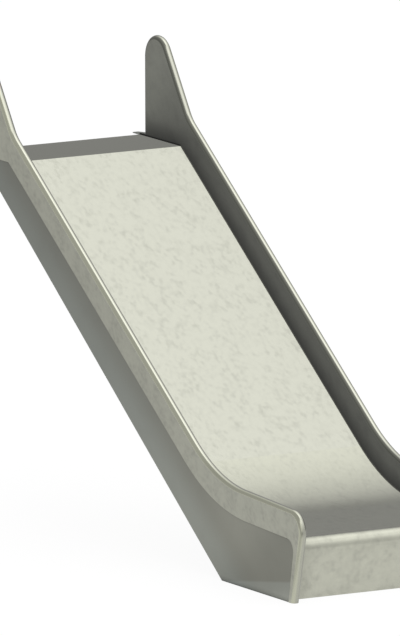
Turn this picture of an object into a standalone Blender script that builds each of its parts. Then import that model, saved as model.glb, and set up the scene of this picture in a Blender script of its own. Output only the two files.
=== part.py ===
"""Wide stainless steel embankment slide, modelled from its side section.

X runs across the slide, Y up the embankment and Z up. The origin is on the ground,
under the middle of the flange at the foot of the front skirt.
Most pieces are flat plates or folded sheets: each is an outline in the side section,
given as (y, z) points, extruded along X.
"""
import math

import bpy
from mathutils import Vector

# Driving dimensions of the side section
PLATFORM_HEIGHT = 1.750
FOLD_Y = 2.725
PLATFORM_DEPTH = 0.417
BED_ANGLE = math.radians(35.0)
RUN_OUT_ANGLE = math.radians(2.5)
BED_LENGTH_LEVEL = 2.020
RUN_OUT_END = 2.750
BED_CURVE_RADIUS = 1.070
NOSE_RADIUS = 0.050
SKIRT_LEAN = math.radians(12.0)
FOOT_FLANGE = 0.040
REAR_FLANGE = 0.060
FLANGE_BEND = 0.006

# Driving dimensions across the slide
INNER_WIDTH = 0.960
CHEEK_THICKNESS = 0.040
SHEET = 0.003
GAP = 0.0003

# Cheeks, measured to the outside of the round rim
CHEEK_RISE = 0.157
EAR_BACK = 0.372
EAR_TOP = 0.521
EAR_RADIUS = 0.118
EAR_FRONT_ANGLE = math.radians(55.6)
EAR_BLEND_RADIUS = 0.200
FRONT_TOP = (-2.906, -1.410)
FRONT_FOOT = (-2.830, -1.750)
FRONT_CORNER_RADIUS = 0.105
RIM_TOE = 0.006
RIM_SETBACK = 0.020

# Outer band and the lower plate lapped behind it; the band is wider along the run-out
BAND_LOWER_RISE = 0.025
BAND_LEVEL_RISE = 0.0105
BAND_EAR_RISE = 0.009
BAND_CURVE_RADIUS = 1.130
BAND_CORNER_RADIUS = 0.060
RECESS_FRONT_TOP = (-2.835, -1.488)
RECESS_FRONT_FOOT = (-2.802, -1.667)
LAP = 0.030
FOOT_REAR_Y = -2.135
UNDERSIDE_ANGLE = math.radians(36.05)
UNDERSIDE_DROP = 0.150

# Frame under the sheets
RIB_WIDTH = 0.040
RIB_DEPTH = 0.030
RIB_SHEET = 0.004
BED_RIBS = 5
FIRST_RIB_AT = 0.180
LAST_RIB_AT = 1.860
RUN_OUT_RIB_Y = -2.550
PLATFORM_RIB_YS = (0.070, 0.300)
TIE_WIDTH = 0.060
TIE_SHEET = 0.006
TIE_YS = (-0.350, -1.150, -1.900)
REAR_TUBE = 0.050
REAR_TUBE_Y = 0.200
ANCHOR_PLATE = 0.120
ANCHOR_SHEET = 0.008
LUG_START = 0.324
LUG_END = 0.490
LUG_TOP = 0.0116
LUG_BOTTOM = -0.004
LUG_TIP = 0.001
FOOT_PLATE_SETBACK = 0.005
FOOT_PLATE_BACK = -2.660
SKIN_BACK = -2.650

# How finely round stretches are divided; bends above WIDE_RADIUS take the wide step
RIM_ARC_STEPS = 10
WIDE_RADIUS = 0.500
WIDE_STEP = math.radians(2.5)
TIGHT_STEP = math.radians(9.0)
MITRE_LIMIT = 0.2

HALF_INNER = INNER_WIDTH / 2
HALF_OUTER = HALF_INNER + CHEEK_THICKNESS
RIM_RADIUS = CHEEK_THICKNESS / 2
RIM_X = HALF_INNER + RIM_RADIUS
PLATE_OUTSIDE = HALF_OUTER - SHEET - GAP
PLATE_INSIDE = PLATE_OUTSIDE - SHEET
FRAME_HALF = PLATE_INSIDE - GAP


def clear_scene():
    for thing in list(bpy.data.objects):
        bpy.data.objects.remove(thing, do_unlink=True)


def new_collection(name):
    collection = bpy.data.collections.new(name)
    bpy.context.scene.collection.children.link(collection)
    return collection


def steel(name, colour, roughness):
    material = bpy.data.materials.new(name)
    material.use_nodes = True
    shader = material.node_tree.nodes["Principled BSDF"]
    shader.inputs["Base Color"].default_value = (*colour, 1.0)
    shader.inputs["Metallic"].default_value = 1.0
    shader.inputs["Roughness"].default_value = roughness
    return material


def slope_line(point, angle, rise=0.0):
    """A line through point that climbs towards +y at angle, moved rise above itself."""
    along = Vector((math.cos(angle), math.sin(angle)))
    above = Vector((-along.y, along.x))
    return Vector(point) + above * rise, along


def line_between(start, end, side=0.0):
    """The line from start to end, moved to its left by side."""
    along = (Vector(end) - Vector(start)).normalized()
    left = Vector((-along.y, along.x))
    return Vector(start) + left * side, along


def crossing(first, second):
    point, along = first
    other, other_along = second
    spread = along.x * other_along.y - along.y * other_along.x
    reach = other - point
    return point + along * ((reach.x * other_along.y - reach.y * other_along.x) / spread)


def at_height(line, z):
    point, along = line
    return point + along * ((z - point.y) / along.y)


def at_y(line, y):
    point, along = line
    return point + along * ((y - point.x) / along.x)


def fillet(before, corner, after, radius, step):
    """The arc of a radius that touches both sides of a corner, as points."""
    start = (before - corner).normalized()
    end = (after - corner).normalized()
    half = start.angle(end) / 2
    reach = radius / math.tan(half)
    centre = corner + (start + end).normalized() * (radius / math.sin(half))
    first = corner + start * reach - centre
    turn = first.angle_signed(corner + end * reach - centre)
    count = max(2, math.ceil(abs(turn) / step))
    points = []
    for index in range(count + 1):
        angle = -turn * index / count
        spun = Vector((first.x * math.cos(angle) - first.y * math.sin(angle),
                       first.x * math.sin(angle) + first.y * math.cos(angle)))
        points.append(centre + spun)
    return points


def step_for(radius):
    return WIDE_STEP if radius > WIDE_RADIUS else TIGHT_STEP


def rounded(corners):
    """A path through (point, radius) corners, each rounded to its radius."""
    path = [corners[0][0]]
    for index in range(1, len(corners) - 1):
        corner, radius = corners[index]
        if radius == 0:
            path.append(corner)
            continue
        path += fillet(corners[index - 1][0], corner, corners[index + 1][0], radius,
                       step_for(radius))
    path.append(corners[-1][0])
    return path


def beside(path, distance):
    """The path moved to its left by distance, with mitred corners."""
    moved = []
    for index, point in enumerate(path):
        ahead = path[min(index + 1, len(path) - 1)]
        behind = path[max(index - 1, 0)]
        into = (point - behind).normalized() if index > 0 else (ahead - point).normalized()
        out = (ahead - point).normalized() if index < len(path) - 1 else into
        mean = (into + out).normalized()
        left = Vector((-mean.y, mean.x))
        moved.append(point + left * (distance / max(mean.dot(into), MITRE_LIMIT)))
    return moved


def plate(name, outline, x_from, x_to, material):
    """A flat outline in the side section, solid from x_from to x_to."""
    curve = bpy.data.curves.new(name, "CURVE")
    curve.dimensions = "2D"
    curve.fill_mode = "BOTH"
    curve.extrude = abs(x_to - x_from) / 2
    spline = curve.splines.new("POLY")
    spline.points.add(len(outline) - 1)
    for point, (y, z) in zip(spline.points, outline):
        point.co = (y, z, 0.0, 1.0)
    spline.use_cyclic_u = True
    spline.use_smooth = False
    return place(curve, name, (x_from + x_to) / 2, material)


def place(curve, name, x, material):
    """Stand a curve drawn in the side section up at x."""
    thing = bpy.data.objects.new(name, curve)
    thing.location = (x, FOLD_Y, PLATFORM_HEIGHT)
    thing.rotation_euler = (math.pi / 2, 0.0, math.pi / 2)
    thing.data.materials.append(material)
    parts.objects.link(thing)
    return thing


def both_sides(name, build):
    """The same piece on the left, -X, and mirrored on the right."""
    for word, side in (("left", -1), ("right", 1)):
        build(f"{name}_{word}", side)


def mirrored_plate(name, outline, x_from, x_to, material):
    both_sides(name, lambda full, side: plate(full, outline, side * x_from, side * x_to,
                                              material))


clear_scene()
parts = new_collection("embankment_slide")
guides = new_collection("guides")

POLISHED = steel("polished_sheet", (0.62, 0.62, 0.57), 0.28)
BRUSHED = steel("brushed_sheet", (0.56, 0.56, 0.51), 0.36)
RIM_STEEL = steel("polished_rim", (0.66, 0.66, 0.61), 0.20)
PLATE_STEEL = steel("lower_sheet", (0.50, 0.51, 0.49), 0.42)
FRAME_STEEL = steel("frame_section", (0.45, 0.46, 0.45), 0.50)

# The lines of the side section, from the fold at (0, 0)
GROUND = -PLATFORM_HEIGHT
bed_line = slope_line((0.0, 0.0), BED_ANGLE)
bed_foot = at_y(bed_line, -BED_LENGTH_LEVEL)
run_out_line = slope_line(bed_foot, RUN_OUT_ANGLE)
nose_top = at_y(run_out_line, -RUN_OUT_END)
nose_centre = nose_top + Vector((math.sin(RUN_OUT_ANGLE), -math.cos(RUN_OUT_ANGLE))) * NOSE_RADIUS
skirt_out = Vector((-math.cos(SKIRT_LEAN), -math.sin(SKIRT_LEAN)))
skirt_line = (nose_centre + skirt_out * NOSE_RADIUS,
              Vector((math.sin(SKIRT_LEAN), -math.cos(SKIRT_LEAN))))
skirt_foot = at_height(skirt_line, GROUND)
rear_top = Vector((PLATFORM_DEPTH, 0.0))


def sheet_outline(path):
    """A folded sheet whose upper or outer face is the path, walked down the slide."""
    return path + list(reversed(beside(path, SHEET)))


def trimmed(path, start=0.0, end=0.0):
    """The path with a little taken off each end, as the gap at a seam."""
    first = (path[1] - path[0]).normalized() * start
    last = (path[-1] - path[-2]).normalized() * end
    return [path[0] + first] + path[1:-1] + [path[-1] - last]


def build_chute():
    """Platform, bed, run-out and nose: four sheets welded edge to edge."""
    half = HALF_INNER - GAP
    fold = Vector((0.0, 0.0))
    curve = fillet(fold, bed_foot, nose_top, BED_CURVE_RADIUS, WIDE_STEP)
    nose_corner = crossing(run_out_line, skirt_line)
    nose = fillet(bed_foot, nose_corner, skirt_foot, NOSE_RADIUS, TIGHT_STEP)
    rear_foot = rear_top - Vector((0.0, REAR_FLANGE))
    flange_end = skirt_foot + Vector((FOOT_FLANGE, 0.0))

    platform = rounded([(rear_foot, 0), (rear_top, FLANGE_BEND), (fold, 0)])
    mitre = Vector((math.sin(BED_ANGLE / 2), -math.cos(BED_ANGLE / 2)))
    below_fold = fold + mitre * (SHEET / math.cos(BED_ANGLE / 2))
    seam = Vector((GAP / 2, 0.0))
    upper = platform[:-1] + [fold + seam]
    lower = beside(platform, SHEET)[:-1] + [below_fold + seam]
    plate("platform_sheet", upper + list(reversed(lower)), -half, half, POLISHED)

    down = (bed_foot - fold).normalized() * (GAP / 2)
    bed = [fold, curve[0] - down]
    bed_under = beside(bed, SHEET)
    bed_outline = [fold + down, bed[1], bed_under[1], below_fold + down]
    plate("bed_sheet", bed_outline, -half, half, BRUSHED)

    run_out = trimmed(curve + [nose[0]], GAP / 2, GAP / 2)
    plate("run_out_sheet", sheet_outline(run_out), -half, half, POLISHED)

    front = trimmed(nose + [skirt_foot, flange_end], GAP / 2, 0.0)
    plate("nose_skirt", sheet_outline(front), -half, half, BRUSHED)


def part_way(start, end, reach):
    """The point that lies reach from start towards end."""
    return start + (end - start).normalized() * reach


def rim_lengths():
    """The rim's middle line from the ear's rear foot to the ground in front.

    It is cut into four lengths on its straight stretches, as the strip is welded up.
    """
    back = (Vector((EAR_BACK - RIM_RADIUS, 0.0)), Vector((0.0, 1.0)))
    ear_centre = (EAR_BACK - EAR_RADIUS, EAR_TOP - EAR_RADIUS)
    ear_front = slope_line(ear_centre, EAR_FRONT_ANGLE, EAR_RADIUS - RIM_RADIUS)
    incline = slope_line((0.0, 0.0), BED_ANGLE, CHEEK_RISE - RIM_RADIUS)
    level = slope_line(bed_foot, RUN_OUT_ANGLE, CHEEK_RISE - RIM_RADIUS)
    front = line_between(FRONT_TOP, FRONT_FOOT, RIM_RADIUS)
    foot = at_height(back, LUG_TOP + GAP)
    toe = at_height(front, GROUND + RIM_TOE)
    corners = [foot, crossing(back, ear_front), crossing(ear_front, incline),
               crossing(incline, level), crossing(level, front), toe]
    radii = (EAR_RADIUS - RIM_RADIUS, EAR_BLEND_RADIUS + RIM_RADIUS,
             BED_CURVE_RADIUS - CHEEK_RISE + RIM_RADIUS, FRONT_CORNER_RADIUS - RIM_RADIUS)
    top, blend, curve, nose = [
        fillet(*corners[index:index + 3], radius, step_for(radius))
        for index, radius in enumerate(radii)]
    below_ear = part_way(blend[-1], curve[0], RIM_SETBACK)
    above_curve = part_way(curve[0], blend[-1], RIM_SETBACK)
    behind_nose = part_way(nose[0], curve[-1], RIM_SETBACK)
    return {
        "ear": [foot] + top + blend + [below_ear],
        "incline": [below_ear, above_curve],
        "run_out": [above_curve] + curve + [behind_nose],
        "front": [behind_nose] + nose + [toe, Vector((toe.x, GROUND))]}


def rim_path():
    """The rim's whole middle line, without the points where it is cut."""
    lengths = rim_lengths()
    return lengths["ear"][:-1] + lengths["run_out"][1:-1] + lengths["front"][1:]


def build_rims():
    """Half-round strip that closes each cheek's edge, swept along the rim path."""
    section = bpy.data.curves.new("rim_section", "CURVE")
    section.dimensions = "2D"
    spline = section.splines.new("POLY")
    turns = [math.pi * step / RIM_ARC_STEPS for step in range(RIM_ARC_STEPS + 1)]
    ring = [(radius * math.sin(turn), radius * math.cos(turn))
            for radius, sweep in ((RIM_RADIUS, turns), (RIM_RADIUS - SHEET, reversed(turns)))
            for turn in sweep]
    spline.points.add(len(ring) - 1)
    for point, (x, y) in zip(spline.points, ring):
        point.co = (x, y, 0.0, 1.0)
    spline.use_cyclic_u = True
    guide = bpy.data.objects.new("rim_section", section)
    guide.hide_render = True
    guide.display_type = "WIRE"
    guides.objects.link(guide)

    def build(name, side, path):
        curve = bpy.data.curves.new(name, "CURVE")
        curve.dimensions = "2D"
        curve.bevel_mode = "OBJECT"
        curve.bevel_object = guide
        curve.use_fill_caps = True
        spline = curve.splines.new("POLY")
        spline.points.add(len(path) - 1)
        for point, (y, z) in zip(spline.points, path):
            point.co = (y, z, 0.0, 1.0)
        place(curve, name, side * RIM_X, RIM_STEEL)

    for length, path in rim_lengths().items():
        start = 0.0 if length == "ear" else GAP / 2
        end = 0.0 if length == "front" else GAP / 2
        path = trimmed(path, start, end)
        both_sides(f"rim_{length}", lambda name, side: build(name, side, path))


def build_cheeks():
    """Inner skin, outer band and recessed lower plate of both cheeks."""
    edge = beside(rim_path(), GAP)
    rear_y = edge[0].x
    under = -SHEET

    chute_under = rounded([
        (Vector((rear_y, under)), 0),
        (crossing((Vector((0.0, under)), Vector((1.0, 0.0))),
                  slope_line((0.0, 0.0), BED_ANGLE, under)), 0),
        (crossing(slope_line((0.0, 0.0), BED_ANGLE, under),
                  slope_line(bed_foot, RUN_OUT_ANGLE, under)), BED_CURVE_RADIUS + SHEET),
        (at_y(slope_line(bed_foot, RUN_OUT_ANGLE, under), SKIN_BACK), 0),
        (Vector((SKIN_BACK, GROUND)), 0)])
    skin = edge + list(reversed(chute_under))
    mirrored_plate("inner_skin", skin, HALF_INNER, HALF_INNER + SHEET, BRUSHED)

    recess_front = line_between(RECESS_FRONT_TOP, RECESS_FRONT_FOOT)
    low_incline = slope_line((0.0, 0.0), BED_ANGLE, BAND_LOWER_RISE)
    low_level = slope_line(bed_foot, RUN_OUT_ANGLE, BAND_LEVEL_RISE)
    ear_low = (Vector((0.0, BAND_EAR_RISE)), Vector((1.0, 0.0)))
    band_low = rounded([
        (Vector((rear_y, BAND_EAR_RISE)), 0),
        (crossing(ear_low, low_incline), 0),
        (crossing(low_incline, low_level), BAND_CURVE_RADIUS),
        (crossing(low_level, recess_front), BAND_CORNER_RADIUS),
        (at_height(recess_front, GROUND), 0)])
    band = edge + list(reversed(band_low))
    mirrored_plate("outer_band", band, HALF_OUTER - SHEET, HALF_OUTER, BRUSHED)

    lap_front = line_between(RECESS_FRONT_TOP, RECESS_FRONT_FOOT, -LAP / 2)
    lap_incline = slope_line((0.0, 0.0), BED_ANGLE, BAND_LOWER_RISE + LAP)
    lap_level = slope_line(bed_foot, RUN_OUT_ANGLE, BAND_LEVEL_RISE + LAP)
    lap_ear = (Vector((0.0, BAND_EAR_RISE + LAP)), Vector((1.0, 0.0)))
    underside = slope_line((FOOT_REAR_Y, GROUND), UNDERSIDE_ANGLE)
    shoulder = at_height(underside, -UNDERSIDE_DROP)
    lower = rounded([
        (Vector((rear_y, BAND_EAR_RISE + LAP)), 0),
        (crossing(lap_ear, lap_incline), 0),
        (crossing(lap_incline, lap_level), BAND_CURVE_RADIUS - LAP),
        (crossing(lap_level, lap_front), BAND_CORNER_RADIUS),
        (at_height(lap_front, GROUND), 0)])
    lower += [Vector((FOOT_REAR_Y, GROUND)), shoulder, Vector((rear_y, -UNDERSIDE_DROP))]
    mirrored_plate("lower_plate", lower, PLATE_INSIDE, PLATE_OUTSIDE, PLATE_STEEL)


def rib(name, point, along):
    """A channel across the slide, its web against the sheet at point."""
    below = Vector((along.y, -along.x))
    top = point + below * (SHEET + GAP)
    half = RIB_WIDTH / 2
    section = [(-half, 0), (half, 0), (half, RIB_DEPTH), (half - RIB_SHEET, RIB_DEPTH),
               (half - RIB_SHEET, RIB_SHEET), (RIB_SHEET - half, RIB_SHEET),
               (RIB_SHEET - half, RIB_DEPTH), (-half, RIB_DEPTH)]
    outline = [top + along * reach + below * depth for reach, depth in section]
    plate(name, outline, -FRAME_HALF, FRAME_HALF, FRAME_STEEL)


def build_ribs():
    """Channels under the sheets, welded to the cheeks' lower plates at both ends."""
    down = -bed_line[1]
    spacing = (LAST_RIB_AT - FIRST_RIB_AT) / (BED_RIBS - 1)
    for index in range(BED_RIBS):
        reach = FIRST_RIB_AT + spacing * index
        rib(f"bed_rib_{index + 1}", down * reach, bed_line[1])
    curve = fillet(Vector((0.0, 0.0)), bed_foot, nose_top, BED_CURVE_RADIUS, WIDE_STEP)
    middle = len(curve) // 2
    rib("run_out_rib_1", curve[middle], (curve[middle - 1] - curve[middle + 1]).normalized())
    rib("run_out_rib_2", at_y(run_out_line, RUN_OUT_RIB_Y), run_out_line[1])
    for index, y in enumerate(PLATFORM_RIB_YS):
        rib(f"platform_rib_{index + 1}", Vector((y, 0.0)), Vector((1.0, 0.0)))


def build_ground_ties():
    """Flat bars along the slope that tie the lower plates and take the ground anchors."""
    underside = slope_line((FOOT_REAR_Y, GROUND), UNDERSIDE_ANGLE)
    along = underside[1]
    above = Vector((-along.y, along.x)) * TIE_SHEET
    for index, y in enumerate(TIE_YS):
        start = at_y(underside, y) - along * (TIE_WIDTH / 2)
        end = start + along * TIE_WIDTH
        plate(f"ground_tie_{index + 1}", [start, end, end + above, start + above],
              -FRAME_HALF, FRAME_HALF, FRAME_STEEL)


def rectangle(y_from, y_to, z_from, z_to):
    return [(y_from, z_from), (y_to, z_from), (y_to, z_to), (y_from, z_to)]


def build_rear_anchor():
    """Square tube under the platform on two anchor plates, and the lugs behind the ears."""
    base = -UNDERSIDE_DROP
    plate_top = base + ANCHOR_SHEET
    low = plate_top + GAP
    half = REAR_TUBE / 2
    tube = plate("rear_cross_tube", rectangle(REAR_TUBE_Y - half, REAR_TUBE_Y + half, low,
                                              low + REAR_TUBE),
                 -FRAME_HALF, FRAME_HALF, FRAME_STEEL)
    bore = rectangle(REAR_TUBE_Y - half + SHEET, REAR_TUBE_Y + half - SHEET, low + SHEET,
                     low + REAR_TUBE - SHEET)
    spline = tube.data.splines.new("POLY")
    spline.points.add(len(bore) - 1)
    for point, (y, z) in zip(spline.points, bore):
        point.co = (y, z, 0.0, 1.0)
    spline.use_cyclic_u = True
    reach = ANCHOR_PLATE / 2
    mirrored_plate("rear_anchor_plate",
                   rectangle(REAR_TUBE_Y - reach, REAR_TUBE_Y + reach, base, plate_top),
                   FRAME_HALF - ANCHOR_PLATE, FRAME_HALF, FRAME_STEEL)
    lug = [(LUG_START, LUG_BOTTOM), (LUG_END, LUG_BOTTOM), (LUG_END, LUG_TIP),
           (EAR_BACK, LUG_TOP), (LUG_START, LUG_TOP)]
    mirrored_plate("rear_lug", lug, HALF_INNER + SHEET + GAP, FRAME_HALF, PLATE_STEEL)


def build_front_feet():
    """Plates on the ground inside the front of each cheek."""
    front = rim_path()[-1].x + FOOT_PLATE_SETBACK
    outline = rectangle(front, FOOT_PLATE_BACK, GROUND, GROUND + TIE_SHEET)
    mirrored_plate("front_foot_plate", outline, HALF_INNER + SHEET + GAP, FRAME_HALF,
                   FRAME_STEEL)


build_chute()
build_rims()
build_cheeks()
build_ribs()
build_ground_ties()
build_rear_anchor()
build_front_feet()
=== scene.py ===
import math

import bpy
import numpy as np
from mathutils import Matrix, Vector


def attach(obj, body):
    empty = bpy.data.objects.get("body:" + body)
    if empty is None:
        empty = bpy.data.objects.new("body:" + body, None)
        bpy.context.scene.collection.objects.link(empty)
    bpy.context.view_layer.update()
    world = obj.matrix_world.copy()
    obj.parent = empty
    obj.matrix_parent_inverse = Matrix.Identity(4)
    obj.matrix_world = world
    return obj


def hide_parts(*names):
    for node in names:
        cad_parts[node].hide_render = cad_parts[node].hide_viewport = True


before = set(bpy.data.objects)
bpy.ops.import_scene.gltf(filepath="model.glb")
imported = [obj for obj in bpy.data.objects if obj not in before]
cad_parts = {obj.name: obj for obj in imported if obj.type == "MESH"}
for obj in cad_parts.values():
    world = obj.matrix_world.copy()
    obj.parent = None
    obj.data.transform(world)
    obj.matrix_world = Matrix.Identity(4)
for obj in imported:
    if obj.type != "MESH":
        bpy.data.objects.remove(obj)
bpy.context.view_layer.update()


# Frame under the slide: channel ribs, flat ground ties, a square tube on two anchor plates
# and plates inside the front feet. All are saw-cut mill-finish stainless section, welded
# between the lower plates before the chute goes on.
FRAME_NODES = ("bed_rib_", "run_out_rib_", "platform_rib_", "ground_tie_", "rear_cross_tube",
               "rear_anchor_plate_", "front_foot_plate_")
STREAK_ROUGHNESS, DENT_STRENGTH = 0.06, 0.4
WHITE = (1.0, 1.0, 1.0, 1.0)


def node_in(tree, kind, values=(), **settings):
    """A new node with its settings. Each input gets a plain value or another node's output."""
    node = tree.nodes.new(kind)
    for setting, value in settings.items():
        setattr(node, setting, value)
    for label, value in dict(values).items():
        if isinstance(value, bpy.types.NodeSocket):
            tree.links.new(value, node.inputs[label])
        else:
            node.inputs[label].default_value = value
    return node


def worked_out(tree, operation, *values):
    """The result of one sum or other operation on numbers and outputs."""
    node = node_in(tree, "ShaderNodeMath", enumerate(values), operation=operation)
    return node.outputs["Value"]


def ramp(tree, value, start, end, low=0.0, high=1.0, curve="SMOOTHSTEP"):
    """A number that goes from low to high while the value goes from start to end."""
    values = {"Value": value, "From Min": start, "From Max": end, "To Min": low, "To Max": high}
    node = node_in(tree, "ShaderNodeMapRange", values, interpolation_type=curve)
    return node.outputs["Result"]


def mixed(tree, blend, share, first, second):
    """A colour mixed from two, with this share of the second."""
    values = {"Factor": share, "A": first, "B": second}
    node = node_in(tree, "ShaderNodeMix", values, data_type="RGBA", blend_type=blend)
    return node.outputs["Result"]


def squeezed(tree, where, factors):
    """A place whose X, Y and Z are each multiplied by their own factor."""
    scale = node_in(tree, "ShaderNodeCombineXYZ", enumerate(factors)).outputs["Vector"]
    node = node_in(tree, "ShaderNodeVectorMath", {0: where, 1: scale}, operation="MULTIPLY")
    return node.outputs["Vector"]


def noise(tree, where, scale, detail):
    """A cloudy number from 0 to 1 for each place."""
    values = {"Vector": where, "Scale": scale, "Detail": detail}
    return node_in(tree, "ShaderNodeTexNoise", values).outputs["Fac"]


def shader_group(name, inputs, outputs):
    """An empty node group with named sockets; each input is a name, a kind and a value."""
    group = bpy.data.node_groups.new(name, "ShaderNodeTree")
    for label, kind, value in inputs:
        socket = group.interface.new_socket(label, in_out="INPUT", socket_type=kind)
        if value is not None:
            socket.default_value = value
    for label, kind in outputs:
        group.interface.new_socket(label, in_out="OUTPUT", socket_type=kind)
    given = group.nodes.new("NodeGroupInput").outputs
    return group, given, group.nodes.new("NodeGroupOutput").inputs


def rolled_grain():
    """Streaks left by rolling and brushing: one noise, squeezed across the Y axis.

    Grain = noise(x * Across, y * Along, z * Across).
    """
    group, given, result = shader_group(
        "rolled_grain",
        [("Vector", "NodeSocketVector", None), ("Across", "NodeSocketFloat", 900.0),
         ("Along", "NodeSocketFloat", 12.0)],
        [("Grain", "NodeSocketFloat")])
    factors = (given["Across"], given["Along"], given["Across"])
    where = squeezed(group, given["Vector"], factors)
    group.links.new(noise(group, where, scale=1.0, detail=3.0), result["Grain"])
    return group


def sheet_mottle():
    """Stains on worked sheet: small specks, stronger inside wider clouds.

    Specks = smoothstep of a fine stretched noise, times 0.35 to 1 by the cloud noise.
    """
    group, given, result = shader_group(
        "sheet_mottle",
        [("Vector", "NodeSocketVector", None), ("Fineness", "NodeSocketFloat", 60.0),
         ("Stretch", "NodeSocketFloat", 0.45), ("Low", "NodeSocketFloat", 0.55),
         ("High", "NodeSocketFloat", 0.72)],
        [("Specks", "NodeSocketFloat"), ("Clouds", "NodeSocketFloat")])
    where = squeezed(group, given["Vector"], (1.0, given["Stretch"], 1.0))
    fine = noise(group, where, scale=given["Fineness"], detail=1.5)
    wide = noise(group, where, scale=14.0, detail=3.0)
    speck = ramp(group, fine, given["Low"], given["High"])
    cloud = ramp(group, wide, start=0.38, end=0.62)
    patchy = ramp(group, cloud, start=0.0, end=1.0, low=0.35, curve="LINEAR")
    group.links.new(worked_out(group, "MULTIPLY", speck, patchy), result["Specks"])
    group.links.new(cloud, result["Clouds"])
    return group


def corner_shade():
    """Painted shade that gathers in corners.

    Open = (open share of the sky within Reach) ^ Power * (share within Joint) ^ Joint Power.
    """
    group, given, result = shader_group(
        "corner_shade",
        [("Reach", "NodeSocketFloat", 0.1), ("Power", "NodeSocketFloat", 1.0),
         ("Joint", "NodeSocketFloat", 0.02), ("Joint Power", "NodeSocketFloat", 0.6)],
        [("Open", "NodeSocketFloat")])
    shares = []
    for reach, power in (("Reach", "Power"), ("Joint", "Joint Power")):
        sky = node_in(group, "ShaderNodeAmbientOcclusion", {"Distance": given[reach]}, samples=8)
        shares.append(worked_out(group, "POWER", sky.outputs["AO"], given[power]))
    group.links.new(worked_out(group, "MULTIPLY", *shares), result["Open"])
    return group


def broad_painted_light():
    """Painted light and shade that change a sheet's tone from place to place.

    Tone = mix(white, Tint * Factor, smoothstep from Start to End of distance along Direction).
    """
    group, given, result = shader_group(
        "broad_painted_light",
        [("Vector", "NodeSocketVector", None), ("Direction", "NodeSocketVector", None),
         ("Start", "NodeSocketFloat", 0.0), ("End", "NodeSocketFloat", 1.0),
         ("Factor", "NodeSocketFloat", 1.0), ("Tint", "NodeSocketColor", WHITE)],
        [("Tone", "NodeSocketColor")])
    distance = node_in(group, "ShaderNodeVectorMath",
                       {0: given["Vector"], 1: given["Direction"]}, operation="DOT_PRODUCT")
    share = ramp(group, distance.outputs["Value"], given["Start"], given["End"])
    full = node_in(group, "ShaderNodeVectorMath",
                   {"Vector": given["Tint"], "Scale": given["Factor"]}, operation="SCALE")
    tone = mixed(group, "MIX", share, WHITE, full.outputs["Vector"])
    group.links.new(tone, result["Tone"])
    return group


GRAIN = rolled_grain()
MOTTLE = sheet_mottle()
SHADE = corner_shade()
PAINTED_LIGHT = broad_painted_light()


def placed(tree, group, **values):
    """The outputs of a group set into a material with values of its own."""
    return node_in(tree, "ShaderNodeGroup", values, node_tree=group).outputs


def steel_sheet(name, colour, stain, roughness, mottle=None, stain_share=0.0, cloud_share=0.0,
                grain=(900.0, 12.0), grain_share=0.04, shade=None, turn=0.0, own_map=False,
                fade=None, dent=0.0001, painted_lights=()):
    """Stainless sheet: one colour, stained by specks and clouds, streaked, with painted shade in
    corners.

    Base Color = mix(colour, stain, specks * stain_share + clouds * cloud_share) * open
    * painted_lights. On its own map a strip may fade into the stain colour between two places
    across it: painted shade.
    """
    material = bpy.data.materials.new(name)
    material.use_nodes = True
    tree = material.node_tree
    shader = tree.nodes["Principled BSDF"]
    shader.inputs["Metallic"].default_value = 1.0
    where = tree.nodes.new("ShaderNodeTexCoord").outputs
    turned = node_in(tree, "ShaderNodeMapping",
                     {"Vector": where["UV" if own_map else "Object"],
                      "Rotation": (turn, 0.0, 0.0)}).outputs["Vector"]
    streaks = placed(tree, GRAIN, Vector=turned, Across=grain[0], Along=grain[1])["Grain"]
    rough = ramp(tree, streaks, 0.0, 1.0, roughness - STREAK_ROUGHNESS,
                 roughness + STREAK_ROUGHNESS, curve="LINEAR")
    tree.links.new(rough, shader.inputs["Roughness"])

    stained = 0.0
    if mottle:
        marks = placed(tree, MOTTLE, Vector=turned, **mottle)
        specks = worked_out(tree, "MULTIPLY", marks["Specks"], stain_share)
        stained = worked_out(tree, "MULTIPLY_ADD", marks["Clouds"], cloud_share, specks)
    amount = worked_out(tree, "MULTIPLY_ADD", streaks, grain_share, stained)
    share = amount
    if fade:
        axes = node_in(tree, "ShaderNodeSeparateXYZ", {"Vector": where["UV"]}).outputs
        share = worked_out(tree, "MAXIMUM", amount, ramp(tree, axes["X"], *fade))
    result = mixed(tree, "MIX", share, (*colour, 1.0), (*stain, 1.0))
    tones = [placed(tree, SHADE, **shade)["Open"]] if shade else []
    for values in painted_lights:
        tones.append(placed(tree, PAINTED_LIGHT, Vector=where["Object"], **values)["Tone"])
    for tone in tones:
        result = mixed(tree, "MULTIPLY", 1.0, result, tone)
    tree.links.new(result, shader.inputs["Base Color"])

    bump = node_in(tree, "ShaderNodeBump",
                   {"Strength": DENT_STRENGTH, "Distance": dent, "Height": amount})
    tree.links.new(bump.outputs["Normal"], shader.inputs["Normal"])
    return material


MILL = steel_sheet("mill_finish_section", (0.40, 0.41, 0.39), (0.22, 0.22, 0.21), 0.42,
                   mottle=dict(Fineness=35.0, Stretch=0.6), stain_share=0.5, cloud_share=0.25,
                   shade={"Reach": 0.06, "Power": 0.6, "Joint": 0.02, "Joint Power": 0.6})
for name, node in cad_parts.items():
    if name.startswith(FRAME_NODES):
        node.data.materials.clear()
        node.data.materials.append(MILL)
        node.visible_glossy = False


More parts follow.
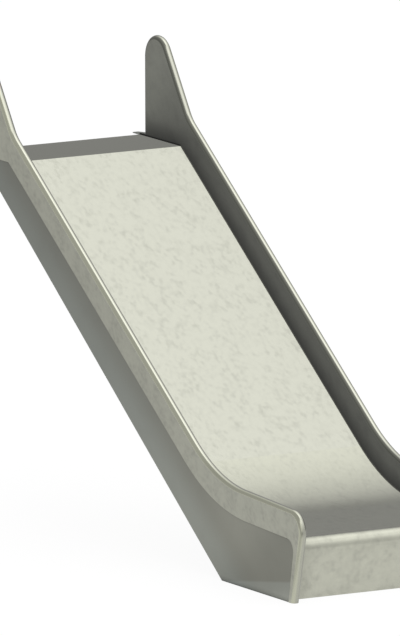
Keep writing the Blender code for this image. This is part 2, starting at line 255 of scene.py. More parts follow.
# Chute: platform, bed, run-out and nose with the front skirt. Four 3 mm stainless sheets,
# folded or rolled, welded edge to edge and ground flush, so that they read as one surface.
FOLD_Y, PLATFORM_HEIGHT = 2.725, 1.750
GROUND = -PLATFORM_HEIGHT
HALF_WIDTH = 0.480
SHEET = 0.003
BED_ANGLE = math.radians(35.0)
RUN_OUT_ANGLE = math.radians(2.5)
SKIRT_LEAN = math.radians(12.0)
BED_FOOT_Y = -2.020
BED_FOOT = complex(BED_FOOT_Y, BED_FOOT_Y * math.tan(BED_ANGLE))
RUN_OUT_END = 2.750
PLATFORM_DEPTH, REAR_FLANGE, FOOT_FLANGE = 0.417, 0.060, 0.040
FLANGE_BEND, FOLD_BEND, BED_CURVE, NOSE_BEND, FOOT_BEND = 0.006, 0.004, 1.070, 0.050, 0.005
DOWN_BED = -np.exp(1j * BED_ANGLE)
DOWN_RUN_OUT = -np.exp(1j * RUN_OUT_ANGLE)
DOWN_SKIRT = complex(math.sin(SKIRT_LEAN), -math.cos(SKIRT_LEAN))
ARC_STEP = math.radians(1.5)
SHARP_EDGE = math.radians(30.0)


def crossing(first, second):
    """Where two lines meet. A line is a point and a direction, each y + iz from the fold."""
    (point, along), (other, other_along) = first, second
    reach = (other - point).conjugate() * other_along
    return point + along * reach.imag / (along.conjugate() * other_along).imag


def bent(corners, radii):
    """A path through corners, y + iz, turned at each inner corner on an arc of its radius.

    Arc = centre + (start - centre) * e^(i * angle), angle from 0 to the turn at the corner.
    """
    stretches = [np.array(corners[:1])]
    for before, corner, after, radius in zip(corners, corners[1:], corners[2:], radii):
        into = (corner - before) / abs(corner - before)
        turn = np.angle((after - corner) / into)
        start = corner - into * radius * math.tan(abs(turn) / 2)
        centre = start + into * 1j * math.copysign(radius, turn)
        count = 2 * math.ceil(abs(turn) / ARC_STEP / 2) + 1
        stretches.append(centre + (start - centre) * np.exp(1j * np.linspace(0, turn, count)))
    stretches.append(np.array(corners[-1:]))
    return np.concatenate(stretches)


def leftward(path):
    """The left normal at each point, lengthened at a corner so that offsets stay parallel."""
    along = np.diff(path)
    along = along / abs(along)
    into = np.concatenate([along[:1], along])
    out = np.concatenate([along, along[-1:]])
    mean = (into + out) / abs(into + out)
    return 1j * mean / (mean.conjugate() * into).real


def nearest(path, point):
    """The number of the path's point that lies nearest to this one."""
    return int(np.argmin(abs(path - point)))


def grid(x, section):
    """Points (rows, columns, 3) from X and from y + iz measured at the fold."""
    x, section = np.broadcast_arrays(x, section)
    return np.stack([x, section.real + FOLD_Y, section.imag + PLATFORM_HEIGHT], axis=-1)


def fit(name, mesh, material, slot, replaced=()):
    """Finish a mesh as a piece of the slide, in place of the CAD nodes that it replaces."""
    mesh.shade_smooth()
    mesh.set_sharp_from_angle(angle=SHARP_EDGE)
    mesh.materials.append(material)
    thing = bpy.data.objects.new(name, mesh)
    bpy.context.scene.collection.objects.link(thing)
    # Sheets mirror the sky and the floor but not each other, as on the photographed slide
    thing.visible_glossy = False
    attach(thing, "root")
    if replaced:
        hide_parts(*replaced)


def shell(name, front, back, material, slot, replaced=()):
    """A closed sheet between two grids of points: front faces, back faces and an edge strip.

    Faces are turned by the sign of the enclosed volume, sum of a . (b x c) over the faces.
    The map of each piece is its length along the rows and across the columns, in metres.
    """
    rows, columns = front.shape[:2]
    count = rows * columns
    index = np.arange(count).reshape(rows, columns)
    quads = np.stack([index[:-1, :-1], index[1:, :-1], index[1:, 1:], index[:-1, 1:]], axis=-1)
    quads = quads.reshape(-1, 4)
    around = np.concatenate([index[:, 0], index[-1, 1:], index[-2::-1, -1], index[0, -2:0:-1]])
    onward = np.roll(around, -1)
    edge = np.stack([around, around + count, onward + count, onward], axis=-1)
    faces = np.concatenate([quads, quads[:, ::-1] + count, edge])
    points = np.concatenate([front.reshape(-1, 3), back.reshape(-1, 3)])
    a, b, c, d = (points[faces[:, corner]] for corner in range(4))
    volume = np.sum(a * np.cross(b, c)) + np.sum(a * np.cross(c, d))
    if volume < 0:
        faces = faces[:, ::-1]
    mesh = bpy.data.meshes.new(name)
    mesh.from_pydata(points.tolist(), [], faces.tolist())
    along = np.linalg.norm(np.diff(front, axis=0), axis=-1)
    across = np.linalg.norm(np.diff(front, axis=1), axis=-1)
    along = np.pad(np.cumsum(along, axis=0), ((1, 0), (0, 0)))
    across = np.pad(np.cumsum(across, axis=1), ((0, 0), (1, 0)))
    flat = np.stack([across, along], axis=-1).reshape(-1, 2)
    flat = np.concatenate([flat, flat])
    corners = np.empty(len(mesh.loops), dtype=np.int32)
    mesh.loops.foreach_get("vertex_index", corners)
    mesh.uv_layers.new(name="sheet_map").uv.foreach_set("vector", flat[corners].ravel())
    fit(name, mesh, material, slot, replaced)


run_out_line = (BED_FOOT, DOWN_RUN_OUT)
nose_top = crossing(run_out_line, (complex(-RUN_OUT_END, 0.0), 1j))
nose_centre = nose_top + 1j * DOWN_RUN_OUT * NOSE_BEND
skirt_line = (nose_centre - 1j * DOWN_SKIRT * NOSE_BEND, DOWN_SKIRT)
skirt_foot = crossing(skirt_line, (complex(0.0, GROUND), 1.0))
rear_top = complex(PLATFORM_DEPTH, 0.0)
chute = bent([rear_top - 1j * REAR_FLANGE, rear_top, 0j, BED_FOOT,
              crossing(run_out_line, skirt_line), skirt_foot, skirt_foot + FOOT_FLANGE],
             [FLANGE_BEND, FOLD_BEND, BED_CURVE, NOSE_BEND, FOOT_BEND])
chute_under = chute + leftward(chute) * SHEET
fold = nearest(chute, 0j)
# The bed is the longest straight length, and the curve starts at its foot
curve_start = fold + 1 + int(np.argmax(abs(np.diff(chute[fold:]))))
nose_start = nearest(chute, nose_top)

STAIN = (0.36, 0.362, 0.312)
TO_LEFT, TO_RIGHT, UP = (-1.0, 0.0, 0.0), (1.0, 0.0, 0.0), (0.0, 0.0, 1.0)


def painted_light(direction, start, end, factor, tint=WHITE):
    """The values of a broad painted tone, lighter for a factor above one and darker below,
    absent at start and full at end, in metres.
    """
    return dict(Direction=direction, Start=start, End=end, Factor=factor, Tint=tint)


PLATFORM_STEEL = steel_sheet("smooth_platform_sheet", (0.465, 0.47, 0.375), STAIN, 0.16,
                             grain_share=0.05)
BED_STEEL = steel_sheet("worn_bed_sheet", (0.585, 0.59, 0.508), STAIN, 0.20,
                        mottle=dict(Fineness=41.0, Stretch=0.65, Low=0.38, High=0.80),
                        stain_share=0.38, cloud_share=0.03, grain_share=0.03, turn=-BED_ANGLE)
RUN_OUT_STEEL = steel_sheet("smooth_run_out_sheet", (0.585, 0.59, 0.495), STAIN, 0.17,
                            mottle=dict(Fineness=45.0, Stretch=0.5, Low=0.36, High=0.78),
                            stain_share=0.22, cloud_share=0.03, grain_share=0.03, dent=0.0008)
# Painted shade: darker beside the cheeks, a little darker on the upper half; a painted
# highlight makes the nose lighter
SKIRT_PAINTED_LIGHTS = [painted_light(TO_LEFT, 0.34, 0.47, 0.82), painted_light(TO_RIGHT, 0.34, 0.47, 0.82),
               painted_light(UP, 0.17, 0.24, 0.965), painted_light(UP, 0.262, 0.29, 1.05)]
SKIRT_STEEL = steel_sheet("mottled_front_sheet", (0.63, 0.635, 0.535), STAIN, 0.29,
                          mottle=dict(Fineness=36.0, Stretch=0.6, Low=0.34, High=0.80),
                          stain_share=0.34, cloud_share=0.10, grain_share=0.03, dent=0.0003,
                          painted_lights=SKIRT_PAINTED_LIGHTS)
chute_sides = np.array([[-HALF_WIDTH, HALF_WIDTH]])
for name, first, last, material, slot, node in (
        ("platform", 0, fold, PLATFORM_STEEL, "smooth_sheet", "platform_sheet"),
        ("slide_bed", fold, curve_start, BED_STEEL, "slide_bed", "bed_sheet"),
        ("run_out", curve_start, nose_start, RUN_OUT_STEEL, "smooth_sheet", "run_out_sheet"),
        ("nose_and_skirt", nose_start, len(chute) - 1, SKIRT_STEEL, "front_sheet",
         "nose_skirt")):
    top, under = (path[first:last + 1, None] for path in (chute, chute_under))
    shell(name, grid(chute_sides, top), grid(chute_sides, under), material, slot, (node,))


# Cheeks: each is a 3 mm inner skin, an outer band that follows the edge, and a lower plate
# set back behind the band and welded to it. Flat stainless sheet, cut to outline.
CHEEK_RISE = 0.157
RIM_RADIUS = 0.020
RIM_X = 0.500
EAR_BACK, EAR_TOP, EAR_RADIUS = 0.372, 0.521, 0.118
EAR_FRONT = np.exp(1j * math.radians(55.6))
EAR_BLEND = 0.200
BELOW_APEX = 0.150
FRONT_TOP, FRONT_FOOT, FRONT_CORNER = -2.906 - 1.410j, -2.830 - 1.750j, 0.105
BAND_RISE, BAND_LEVEL_RISE, BAND_EAR_RISE = 0.025, 0.0105, 0.009
BAND_CURVE, BAND_CORNER = 1.130, 0.060
RECESS_TOP, RECESS_FOOT = -2.835 - 1.488j, -2.802 - 1.667j
LAP = 0.030
LUG_TOP = 0.0119
SKIN_BACK = -2.650
UNDERSIDE_FOOT, UNDERSIDE_DROP = complex(-2.135, GROUND), 0.150
UNDERSIDE = np.exp(1j * math.radians(36.05))
BAND_X, PLATE_X = 0.520, 0.5167
LEVEL_GROUND = (complex(0.0, GROUND), 1.0)
OUTLINE_SPACING = 0.008


def raised(line, rise):
    """The line of the bed or run-out moved up from its own surface."""
    point, along = line
    return point - 1j * along * rise, along


def facing(upper, lower, pairs):
    """Two outlines cut into as many points each, so that paired points face each other.

    Between pairs both are walked at an even share of their own length.
    """
    lengths = [np.pad(np.cumsum(abs(np.diff(path))), (1, 0)) for path in (upper, lower)]
    marks = [[length[nearest(path, pair[side])] for pair in pairs]
             for side, (path, length) in enumerate(zip((upper, lower), lengths))]
    counts = [math.ceil(max(abs(np.diff(mark)[step]) for mark in marks) / OUTLINE_SPACING)
              for step in range(len(pairs) - 1)]
    walks = []
    for path, length, mark in zip((upper, lower), lengths, marks):
        walk = np.concatenate([np.linspace(start, end, count, endpoint=False)
                               for start, end, count in zip(mark, mark[1:], counts)]
                              + [mark[-1:]])
        walks.append(np.interp(walk, length, path.real)
                     + 1j * np.interp(walk, length, path.imag))
    return walks


bed_line = (0j, DOWN_BED)
rim_inset = CHEEK_RISE - RIM_RADIUS
ear_centre = complex(EAR_BACK - EAR_RADIUS, EAR_TOP - EAR_RADIUS)
back_line = (complex(EAR_BACK - RIM_RADIUS, 0.0), 1j)
ear_front_line = (ear_centre + 1j * EAR_FRONT * (EAR_RADIUS - RIM_RADIUS), EAR_FRONT)
down_front = (FRONT_FOOT - FRONT_TOP) / abs(FRONT_FOOT - FRONT_TOP)
front_line = (FRONT_TOP + 1j * down_front * RIM_RADIUS, down_front)
ear_foot = back_line[0] + 1j * LUG_TOP
rear_y = ear_foot.real
toe = crossing(front_line, LEVEL_GROUND)
rim_incline, rim_level = raised(bed_line, rim_inset), raised(run_out_line, rim_inset)
slope_head = crossing(ear_front_line, rim_incline)
slope_foot = crossing(rim_incline, rim_level)
front_head = crossing(rim_level, front_line)
rim_line = bent([ear_foot, crossing(back_line, ear_front_line), slope_head, slope_foot,
                 front_head, toe],
                [EAR_RADIUS - RIM_RADIUS, EAR_BLEND + RIM_RADIUS,
                 BED_CURVE - rim_inset, FRONT_CORNER - RIM_RADIUS])
ear_apex = complex(ear_centre.real, EAR_TOP - RIM_RADIUS)


def outline_below(ear_rise, slope_rise, level_rise, curve, front_point, front_along, corner):
    """The lower outline of a cheek's sheet, and its corners.

    It runs level behind, down the slope, along the run-out and down to the ground.
    """
    slope, level = raised(bed_line, slope_rise), raised(run_out_line, level_rise)
    ear_line, front = (1j * ear_rise, 1.0), (front_point, front_along)
    corners = [complex(rear_y, ear_rise), crossing(ear_line, slope), crossing(slope, level),
               crossing(level, front), crossing(front, LEVEL_GROUND)]
    return bent(corners, [FOLD_BEND, curve, corner]), corners


recess_along = (RECESS_FOOT - RECESS_TOP) / abs(RECESS_FOOT - RECESS_TOP)
band_low, band_corners = outline_below(BAND_EAR_RISE, BAND_RISE, BAND_LEVEL_RISE, BAND_CURVE,
                                       RECESS_TOP, recess_along, BAND_CORNER)
skin_low, skin_corners = outline_below(-SHEET, -SHEET, -SHEET, BED_CURVE + SHEET,
                                       complex(SKIN_BACK, 0.0), -1j, BAND_CORNER)
plate_high, plate_corners = outline_below(
    BAND_EAR_RISE + LAP, BAND_RISE + LAP, BAND_LEVEL_RISE + LAP, BAND_CURVE - LAP,
    RECESS_TOP - 1j * recess_along * LAP / 2, recess_along, BAND_CORNER)
plate_low = np.array([complex(rear_y, -UNDERSIDE_DROP),
                      crossing((UNDERSIDE_FOOT, UNDERSIDE), (-1j * UNDERSIDE_DROP, 1.0)),
                      UNDERSIDE_FOOT, plate_corners[-1]])
rim_keys = [ear_foot, ear_apex, slope_head, slope_foot, front_head, toe]
band_keys = [band_corners[0], complex(BELOW_APEX, BAND_EAR_RISE)] + band_corners[1:]
skin_keys = [skin_corners[0], complex(BELOW_APEX, -SHEET)] + skin_corners[1:]
plate_high_keys = plate_corners[:2] + plate_corners[3:]

BACK, BACK_UP, BACK_DOWN = (0.0, 1.0, 0.0), (0.0, 1.0, 1.0), (0.0, 1.0, -1.0)
BELOW_BED = (0.0, 0.574, -0.819)
# Painted light and shade: lightest at the ears' upper back, darkest at the platform, lighter
# again down the slope
SKIN_PAINTED_LIGHTS = [painted_light(BACK_UP, 5.12, 4.6, 0.80), painted_light(UP, 1.90, 1.78, 0.74),
              painted_light(UP, 1.75, 1.54, 1.15), painted_light(BACK, 0.95, 0.65, 1.12)]
SKIN_STEEL = steel_sheet("cheek_inner_sheet", (0.326, 0.333, 0.288), (0.2, 0.2, 0.18), 0.30,
                         mottle=dict(Fineness=30.0, Stretch=0.6, Low=0.34, High=0.80),
                         stain_share=0.25, cloud_share=0.10, turn=-BED_ANGLE,
                         shade={"Reach": 0.45, "Power": 0.65, "Joint": 0.10, "Joint Power": 1.45},
                         painted_lights=SKIN_PAINTED_LIGHTS)
BAND_STEEL = steel_sheet("mottled_band_sheet", (0.585, 0.59, 0.50), STAIN, 0.34,
                         mottle=dict(Fineness=50.0, Stretch=0.7, Low=0.32, High=0.78),
                         stain_share=0.38, cloud_share=0.12, turn=-BED_ANGLE)
# Painted reflection and shade: lighter downhill and away from the bed, dark in the front
# corner, light along the ground
PLATE_PAINTED_LIGHTS = [painted_light(UP, 0.90, 1.70, 0.88), painted_light(UP, 0.95, 0.0, 1.375),
               painted_light(BELOW_BED, 0.10, 0.28, 1.21, tint=(0.965, 1.0, 1.035, 1.0)),
               painted_light(BACK_UP, 2.40, 0.90, 0.87, tint=(1.012, 1.0, 0.98, 1.0)),
               painted_light(BACK_DOWN, 0.45, 0.10, 1.16), painted_light((0.0, 0.75, 1.0), 0.68, 0.24, 0.77),
               painted_light((0.0, 0.153, 1.0), 0.097, 0.082, 1.25, tint=(0.97, 1.0, 1.035, 1.0))]
PLATE_STEEL = steel_sheet("lower_plate_sheet", (0.322, 0.327, 0.286), (0.22, 0.22, 0.19), 0.36,
                          mottle=dict(Fineness=4.0, Stretch=0.8, Low=0.35, High=0.7),
                          stain_share=0.12, turn=-BED_ANGLE,
                          shade={"Reach": 0.03, "Power": 0.7, "Joint": 0.012, "Joint Power": 0.6},
                          painted_lights=PLATE_PAINTED_LIGHTS)
LUG_NODES = {"left": "rear_lug_left", "right": "rear_lug_right"}
for word, side in (("left", -1), ("right", 1)):
    for name, upper, lower, pairs, near, material, slot, node in (
            ("cheek_skin", rim_line, skin_low, zip(rim_keys, skin_keys),
             HALF_WIDTH, SKIN_STEEL, "cheek_inside", "inner_skin"),
            ("cheek_band", rim_line, band_low, zip(rim_keys, band_keys),
             BAND_X - SHEET, BAND_STEEL, "cheek_band", "outer_band"),
            ("cheek_plate", plate_high, plate_low, zip(plate_high_keys, plate_low),
             PLATE_X - SHEET, PLATE_STEEL, "lower_sheet", "lower_plate")):
        section = np.stack(facing(upper, lower, list(pairs)), axis=-1)
        shell(f"{name}_{word}", grid(side * near, section), grid(side * (near + SHEET), section),
              material, slot, (f"{node}_{word}",))
    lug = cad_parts[LUG_NODES[word]]
    lug.data.materials.clear()
    lug.data.materials.append(PLATE_STEEL)
    lug.visible_glossy = False


# Rims: a half-round strip closes each cheek from the back of the ear to the ground in front.
# It is rolled from stainless strip in four lengths, butt welded, polished over.
RIM_POINTS = 25
RIM_SIDE = (0.502, 0.514)
RIM_WARM = (1.03, 1.035, 0.97, 1.0)
# Round the strip from its outer side: between these places it fades into painted shade
# towards the chute
RIM_SHADED_SPAN = (0.033, 0.058)
# Painted shade and reflection: dark at the foot of the ears' back, a little darker low down,
# lighter on the outer side
RIM_PAINTED_LIGHTS = [painted_light(BACK_DOWN, 1.12, 1.33, 0.55), painted_light(UP, 0.62, 0.50, 0.86),
             painted_light(UP, 0.30, 0.22, 0.96), painted_light(TO_LEFT, *RIM_SIDE, 1.20, tint=RIM_WARM),
             painted_light(TO_RIGHT, *RIM_SIDE, 1.20, tint=RIM_WARM)]
RIM_STEEL = steel_sheet("polished_rim_strip", (0.60, 0.605, 0.515), (0.20, 0.205, 0.175), 0.20,
                        own_map=True, grain=(700.0, 25.0), grain_share=0.03,
                        fade=RIM_SHADED_SPAN, painted_lights=RIM_PAINTED_LIGHTS)
outward = -leftward(rim_line)
around = np.linspace(0.0, math.pi, RIM_POINTS)
for word, side in (("left", -1), ("right", 1)):
    surfaces = [grid(side * (RIM_X + radius * np.cos(around)),
                     rim_line[:, None] + outward[:, None] * radius * np.sin(around))
                for radius in (RIM_RADIUS, RIM_RADIUS - SHEET)]
    # The strip is cut off level with the ground
    for surface in surfaces:
        np.clip(surface[..., 2], 0.0, None, out=surface[..., 2])
    shell(f"rim_{word}", *surfaces, RIM_STEEL, "cheek_rim",
          [f"rim_{length}_{word}" for length in ("ear", "incline", "run_out", "front")])


# Welds: a fine bead closes each corner between chute and cheek, and short fillets hold the
# ribs and the rear tube between the lower plates. TIG welded, left dark beside the polish.
BEAD, PLATFORM_LEG = 0.003, 0.008
# A bead's inner surface runs at a tenth of its size, so that it never shrinks to a line
BEAD_SURFACES = (1.0, 0.1)
# It ends on the bend at the skirt's foot, this many points before the bend's middle
FOOT_POINTS = 8
BEAD_POINTS, FILLET_POINTS = 5, 8
# A fillet's middle stands this far out of the corner that it fills
FILLET_OUT = BEAD / 3
FRAME_HALF = 0.5134
RIB_WIDTH, RIB_DEPTH, TUBE = 0.040, 0.030, 0.050
BED_RIB_REACHES = np.linspace(0.180, 1.860, 5)
RUN_OUT_RIB_Y, PLATFORM_RIB_YS = -2.550, [0.070, 0.300]
ANCHOR_Y, ANCHOR_PLATE = 0.200, 0.008
PLATE_TOP = complex(ANCHOR_Y, ANCHOR_PLATE - UNDERSIDE_DROP)
TUBE_CENTRE = PLATE_TOP + 1j * TUBE / 2
# Painted shade of the crease leaves the beads nearly black on the platform
BEAD_STEEL = steel_sheet("weld_bead_steel", (0.16, 0.16, 0.14), (0.06, 0.055, 0.05), 0.42,
                         grain=(320.0, 320.0), grain_share=0.7, dent=0.0006,
                         painted_lights=[painted_light(BACK, 2.70, 2.74, 0.15)])


def stacked(name, rings, material, slot):
    """Closed bodies, each a stack of rings: an array of bodies, rings, corners and X, Y, Z.

    A ring runs anticlockwise seen from the end of its stack, and both ends are flat.
    """
    index = np.arange(rings[..., 0].size).reshape(rings.shape[:3])
    onward = np.roll(index, -1, axis=2)
    sides = np.stack([index[:, :-1], onward[:, :-1], onward[:, 1:], index[:, 1:]], axis=-1)
    ends = np.concatenate([index[:, 0, ::-1], index[:, -1]])
    faces = sides.reshape(-1, 4).tolist() + ends.tolist()
    mesh = bpy.data.meshes.new(name)
    mesh.from_pydata(rings.reshape(-1, 3).tolist(), [], faces)
    fit(name, mesh, material, slot)


def fillets(name, starts, ends, radius):
    """Short weld beads from starts to ends: a tube whose ends close on a half sphere.

    Ring at angle a from 10 to 170 degrees: radius * sin a, set radius * cos a past its end.
    """
    turns = np.radians([10.0, 30.0, 60.0, 90.0, 90.0, 120.0, 150.0, 170.0])
    at_end = np.repeat([0.0, 1.0], len(turns) // 2)
    along = (ends - starts) / np.linalg.norm(ends - starts, axis=-1, keepdims=True)
    # Any direction will do that no fillet runs along
    first = np.cross(along, [0.31, 0.57, 0.76])
    first /= np.linalg.norm(first, axis=-1, keepdims=True)
    second = np.cross(along, first)
    angle = np.linspace(0.0, 2 * math.pi, FILLET_POINTS, endpoint=False)
    spoke = (first[:, None] * np.cos(angle)[:, None] + second[:, None] * np.sin(angle)[:, None])
    middle = (starts[:, None] + (ends - starts)[:, None] * at_end[:, None]
              - along[:, None] * radius * np.cos(turns)[:, None])
    rings = middle[:, :, None] + spoke[:, None] * radius * np.sin(turns)[:, None, None]
    stacked(name, rings, BEAD_STEEL, "frame_section")


seam = chute[nearest(chute, rear_top.real - FLANGE_BEND):
             nearest(chute, skirt_foot) - FOOT_POINTS]
above = -leftward(seam)
bead_turn = np.linspace(0.0, math.pi / 2, BEAD_POINTS)
# At the fold the leg up the cheek widens to what the platform's bead has
leg = np.interp(seam.real, [-FOLD_BEND / 4, FOLD_BEND / 4], [BEAD, PLATFORM_LEG])[:, None]
for word, side in (("left", -1), ("right", 1)):
    surfaces = [grid(side * (HALF_WIDTH - share * BEAD * np.cos(bead_turn)),
                     seam[:, None] + above[:, None] * share * leg * np.sin(bead_turn))
                for share in BEAD_SURFACES]
    shell(f"seam_bead_{word}", *surfaces, BEAD_STEEL, "cheek_inside")

curve_middle = (curve_start + nose_start - 1) // 2
run_out_rib = crossing(run_out_line, (complex(RUN_OUT_RIB_Y, 0.0), 1j))
rib_points = np.concatenate([DOWN_BED * BED_RIB_REACHES, [chute[curve_middle], run_out_rib],
                             PLATFORM_RIB_YS])
down_curve = (DOWN_BED + DOWN_RUN_OUT) / abs(DOWN_BED + DOWN_RUN_OUT)
rib_along = np.concatenate([np.full(5, DOWN_BED), [down_curve, DOWN_RUN_OUT, -1.0, -1.0]])
both_sides = np.array([-1, 1])
rib_side = both_sides * (RIB_WIDTH / 2 + FILLET_OUT)
rib_top = rib_points[:, None] + rib_along[:, None] * (rib_side + 1j * (SHEET + BEAD))
rib_foot = (rib_points[:, None]
            + rib_along[:, None] * (rib_side + 1j * (SHEET + RIB_DEPTH - BEAD)))
tube_side = TUBE_CENTRE + both_sides * (TUBE / 2 + FILLET_OUT)
starts = np.append(rib_top.ravel(), tube_side + 1j * (TUBE / 2 - BEAD))
ends = np.append(rib_foot.ravel(), tube_side - 1j * (TUBE / 2 - BEAD))
plate_inside = both_sides[:, None] * (FRAME_HALF - FILLET_OUT)
fillets("frame_fillets", grid(plate_inside, starts).reshape(-1, 3),
        grid(plate_inside, ends).reshape(-1, 3), BEAD)


# Anchor studs: threaded stud ends, nuts and washers that hold the rear anchor plates and the
# ground ties down on their footings. Stainless M12, screwed down hand tight on site.
STUD, STUD_TOP, STUD_EDGE = 0.006, 0.022, 0.001
WASHER, WASHER_HEIGHT = 0.0125, 0.0025
NUT_ACROSS, NUT_HEIGHT, NUT_EDGE = 0.0185, 0.010, 0.001
# Largest radius of the nut and of its chamfered end, as shares of half its width
NUT_CORNER, NUT_CHAMFER = 1.12, 1.02
STUD_POINTS = 48
PLATE_STUD_XS, PLATE_STUD_OFFSETS = np.array([-0.483, -0.423, 0.423, 0.483]), [-0.042, 0.042]
TIE_YS, TIE_SHEET, TIE_STUD_XS = np.array([-0.350, -1.150, -1.900]), 0.006, [-0.300, 0.300]
FASTENER_STEEL = steel_sheet("fastener_steel", (0.50, 0.50, 0.47), (0.2, 0.2, 0.19), 0.30,
                             grain=(500.0, 500.0), grain_share=0.4,
                             shade={"Reach": 0.02, "Power": 0.8,
                                    "Joint": 0.006, "Joint Power": 0.6})


def anchor_studs(name, x, seats, up):
    """Washer, nut and stud end on each seat, turned round the direction up from the seat.

    Radius of a ring = a, or for the nut a / cos(angle to the nearest flat), cut at its corners.
    """
    angle = np.linspace(0.0, 2 * math.pi, STUD_POINTS, endpoint=False)
    hexagon = 1.0 / np.cos((angle + math.pi / 6) % (math.pi / 3) - math.pi / 6)
    nut, chamfered = (np.minimum(NUT_ACROSS / 2 * hexagon, NUT_ACROSS / 2 * share)
                      for share in (NUT_CORNER, NUT_CHAMFER))
    washer, stud, stud_tip = (np.full_like(angle, radius)
                              for radius in (WASHER, STUD, STUD - STUD_EDGE))
    nut_top = WASHER_HEIGHT + NUT_HEIGHT
    levels = [(washer, 0.0), (washer, WASHER_HEIGHT), (chamfered, WASHER_HEIGHT),
              (nut, WASHER_HEIGHT + NUT_EDGE), (nut, nut_top - NUT_EDGE), (chamfered, nut_top),
              (stud, nut_top), (stud, STUD_TOP - STUD_EDGE), (stud_tip, STUD_TOP)]
    radius = np.stack([level[0] for level in levels])
    height = np.array([level[1] for level in levels])[:, None]
    across = x[:, None, None] + radius * np.cos(angle)
    section = seats[:, None, None] + up / 1j * radius * np.sin(angle) + up * height
    stacked(name, grid(across, section), FASTENER_STEEL, "frame_section")


plate_seats = PLATE_TOP + np.array(PLATE_STUD_OFFSETS)
anchor_studs("anchor_studs", np.repeat(PLATE_STUD_XS, 2), np.tile(plate_seats, 4), 1j)
tie_seats = (UNDERSIDE_FOOT + UNDERSIDE * (TIE_YS - UNDERSIDE_FOOT.real) / UNDERSIDE.real
             + 1j * UNDERSIDE * TIE_SHEET)
anchor_studs("tie_studs", np.tile(TIE_STUD_XS, 3), np.repeat(tie_seats, 2), 1j * UNDERSIDE)


# Studio: a plain white floor and a dome of soft light, dim to the left and bright overhead.
# What the steel mirrors of the floor has its own light, and the background is plain white.
FLOOR_REACH = 120
FLOOR_GREY, FLOOR_GLOW = (0.1, 0.1, 0.1, 1.0), 0.93
floor_mesh = bpy.data.meshes.new("floor")
floor_mesh.from_pydata([(x * FLOOR_REACH, y * FLOOR_REACH, 0)
                        for x, y in ((-1, -1), (1, -1), (1, 1), (-1, 1))], [], [(0, 1, 2, 3)])
floor = bpy.data.objects.new("floor", floor_mesh)
bpy.context.scene.collection.objects.link(floor)
paint = bpy.data.materials.new("floor_paint")
paint.use_nodes = True
tree = paint.node_tree
shader = tree.nodes["Principled BSDF"]
shader.inputs["Base Color"].default_value = FLOOR_GREY
shader.inputs["Roughness"].default_value = 1.0
shader.inputs["Specular IOR Level"].default_value = 0.0
shader.inputs["Emission Color"].default_value = WHITE
shader.inputs["Emission Strength"].default_value = FLOOR_GLOW
where = tree.nodes.new("ShaderNodeTexCoord").outputs["Object"]
axes = node_in(tree, "ShaderNodeSeparateXYZ", {"Vector": where}).outputs
# The mirrored floor's own light dims uphill and far in front. Its pool before the foot is
# painted light, but dark to the left, and behind the foot lies a little painted shadow
uphill = ramp(tree, axes["Y"], 0.0, 6.0, low=0.68, high=0.54, curve="LINEAR")
far_front = ramp(tree, axes["Y"], -1.3, -0.45, low=-0.15, high=0.0)
pool = ramp(tree, axes["Y"], -0.5, 0.6, low=0.11, high=0.0)
aside = ramp(tree, axes["X"], -1.2, -0.55, low=-1.6)
beside = ramp(tree, axes["X"], -1.4, -0.6)
behind = ramp(tree, axes["Y"], -0.1, 0.3, high=-0.16)
lengthwise = worked_out(tree, "ADD", uphill, far_front)
floor_light = worked_out(tree, "MULTIPLY_ADD", pool, aside, lengthwise)
shaded = worked_out(tree, "MULTIPLY_ADD", beside, behind, floor_light)
mirrored = node_in(tree, "ShaderNodeEmission", {"Strength": shaded})
path = tree.nodes.new("ShaderNodeLightPath")
seen = node_in(tree, "ShaderNodeMixShader",
               {"Fac": path.outputs["Is Glossy Ray"], 1: shader.outputs["BSDF"],
                2: mirrored.outputs["Emission"]})
tree.links.new(seen.outputs["Shader"], tree.nodes["Material Output"].inputs["Surface"])
floor_mesh.materials.append(paint)

# The dome's light at each height, the height being the sine of the angle above the horizon
DOME = [(0.00, 0.30), (0.20, 0.30), (0.32, 0.31), (0.39, 0.345), (0.455, 0.435), (0.52, 0.575),
        (0.63, 0.77), (0.72, 0.91), (0.80, 1.09), (0.86, 1.20), (1.00, 1.75)]
DOME_PEAK, FRONT_LIGHT, FRONT_RISE = 2.0, 0.64, 1.10
DIM_SIDE = (0.21, 0.21, 0.21, 1.0)
world = bpy.data.worlds.new("studio")
bpy.context.scene.world = world
world.use_nodes = True
tree = world.node_tree
where = tree.nodes.new("ShaderNodeTexCoord").outputs["Generated"]
axes = node_in(tree, "ShaderNodeSeparateXYZ", {"Vector": where}).outputs
height = node_in(tree, "ShaderNodeValToRGB", {"Fac": axes["Z"]})
steps = height.color_ramp.elements
steps[1].position = DOME[-1][0]
steps[1].color = (DOME[-1][1] / DOME_PEAK,) * 3 + (1.0,)
steps[0].color = (DOME[0][1] / DOME_PEAK,) * 3 + (1.0,)
for position, light in DOME[1:-1]:
    steps.new(position).color = (light / DOME_PEAK,) * 3 + (1.0,)
sideways = ramp(tree, axes["X"], -0.30, 0.05)
dome = mixed(tree, "MIX", sideways, DIM_SIDE, height.outputs["Color"])
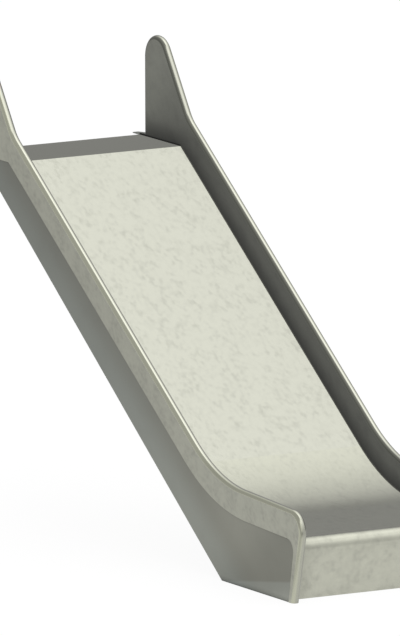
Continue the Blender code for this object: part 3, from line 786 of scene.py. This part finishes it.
# In front the sky is at least FRONT_LIGHT + FRONT_RISE * z * z
in_front = ramp(tree, axes["Y"], -0.50, -0.20, low=1.0, high=0.0)
squared = worked_out(tree, "MULTIPLY", axes["Z"], axes["Z"])
rising = worked_out(tree, "MULTIPLY_ADD", squared, FRONT_RISE / DOME_PEAK,
                    FRONT_LIGHT / DOME_PEAK)
front_sky = worked_out(tree, "MULTIPLY", in_front, rising)
sky = tree.nodes["Background"]
sky.inputs["Strength"].default_value = DOME_PEAK
tree.links.new(mixed(tree, "LIGHTEN", 1.0, dome, front_sky), sky.inputs["Color"])
backdrop = node_in(tree, "ShaderNodeBackground", {"Color": WHITE})
path = tree.nodes.new("ShaderNodeLightPath")
seen = node_in(tree, "ShaderNodeMixShader",
               {"Fac": path.outputs["Is Camera Ray"], 1: sky.outputs["Background"],
                2: backdrop.outputs["Background"]})
tree.links.new(seen.outputs["Shader"], tree.nodes["World Output"].inputs["Surface"])
bpy.context.scene.view_settings.view_transform = "Standard"


# Camera: a long lens far away, as the photograph shows the slide almost without perspective. It
# looks from low in front of the slide and to its left.
AZIMUTH, ELEVATION, ROLL = (math.radians(angle) for angle in (-29.80, 10.04, -0.150))
DISTANCE = 91.25322
AIM = Vector((0.0, 1.712, 1.094))
AIM_RIGHT, AIM_UP = 0.00619, -0.01434
LENS, SENSOR, CLIP_END = 1050.0, 36.0, 600.0
back = Vector((math.sin(AZIMUTH) * math.cos(ELEVATION), -math.cos(AZIMUTH) * math.cos(ELEVATION),
               math.sin(ELEVATION)))
level_right = Vector((math.cos(AZIMUTH), math.sin(AZIMUTH), 0.0))
level_up = back.cross(level_right)
right = level_right * math.cos(ROLL) + level_up * math.sin(ROLL)
up = level_up * math.cos(ROLL) - level_right * math.sin(ROLL)
camera = bpy.data.objects.new("camera", bpy.data.cameras.new("camera"))
camera.data.lens = LENS
camera.data.sensor_width = SENSOR
camera.data.clip_end = CLIP_END
aim = AIM + level_right * AIM_RIGHT + level_up * AIM_UP
camera.matrix_world = (Matrix.Translation(aim + back * DISTANCE)
                       @ Matrix((right, up, back)).transposed().to_4x4())
bpy.context.scene.collection.objects.link(camera)
bpy.context.scene.camera = camera
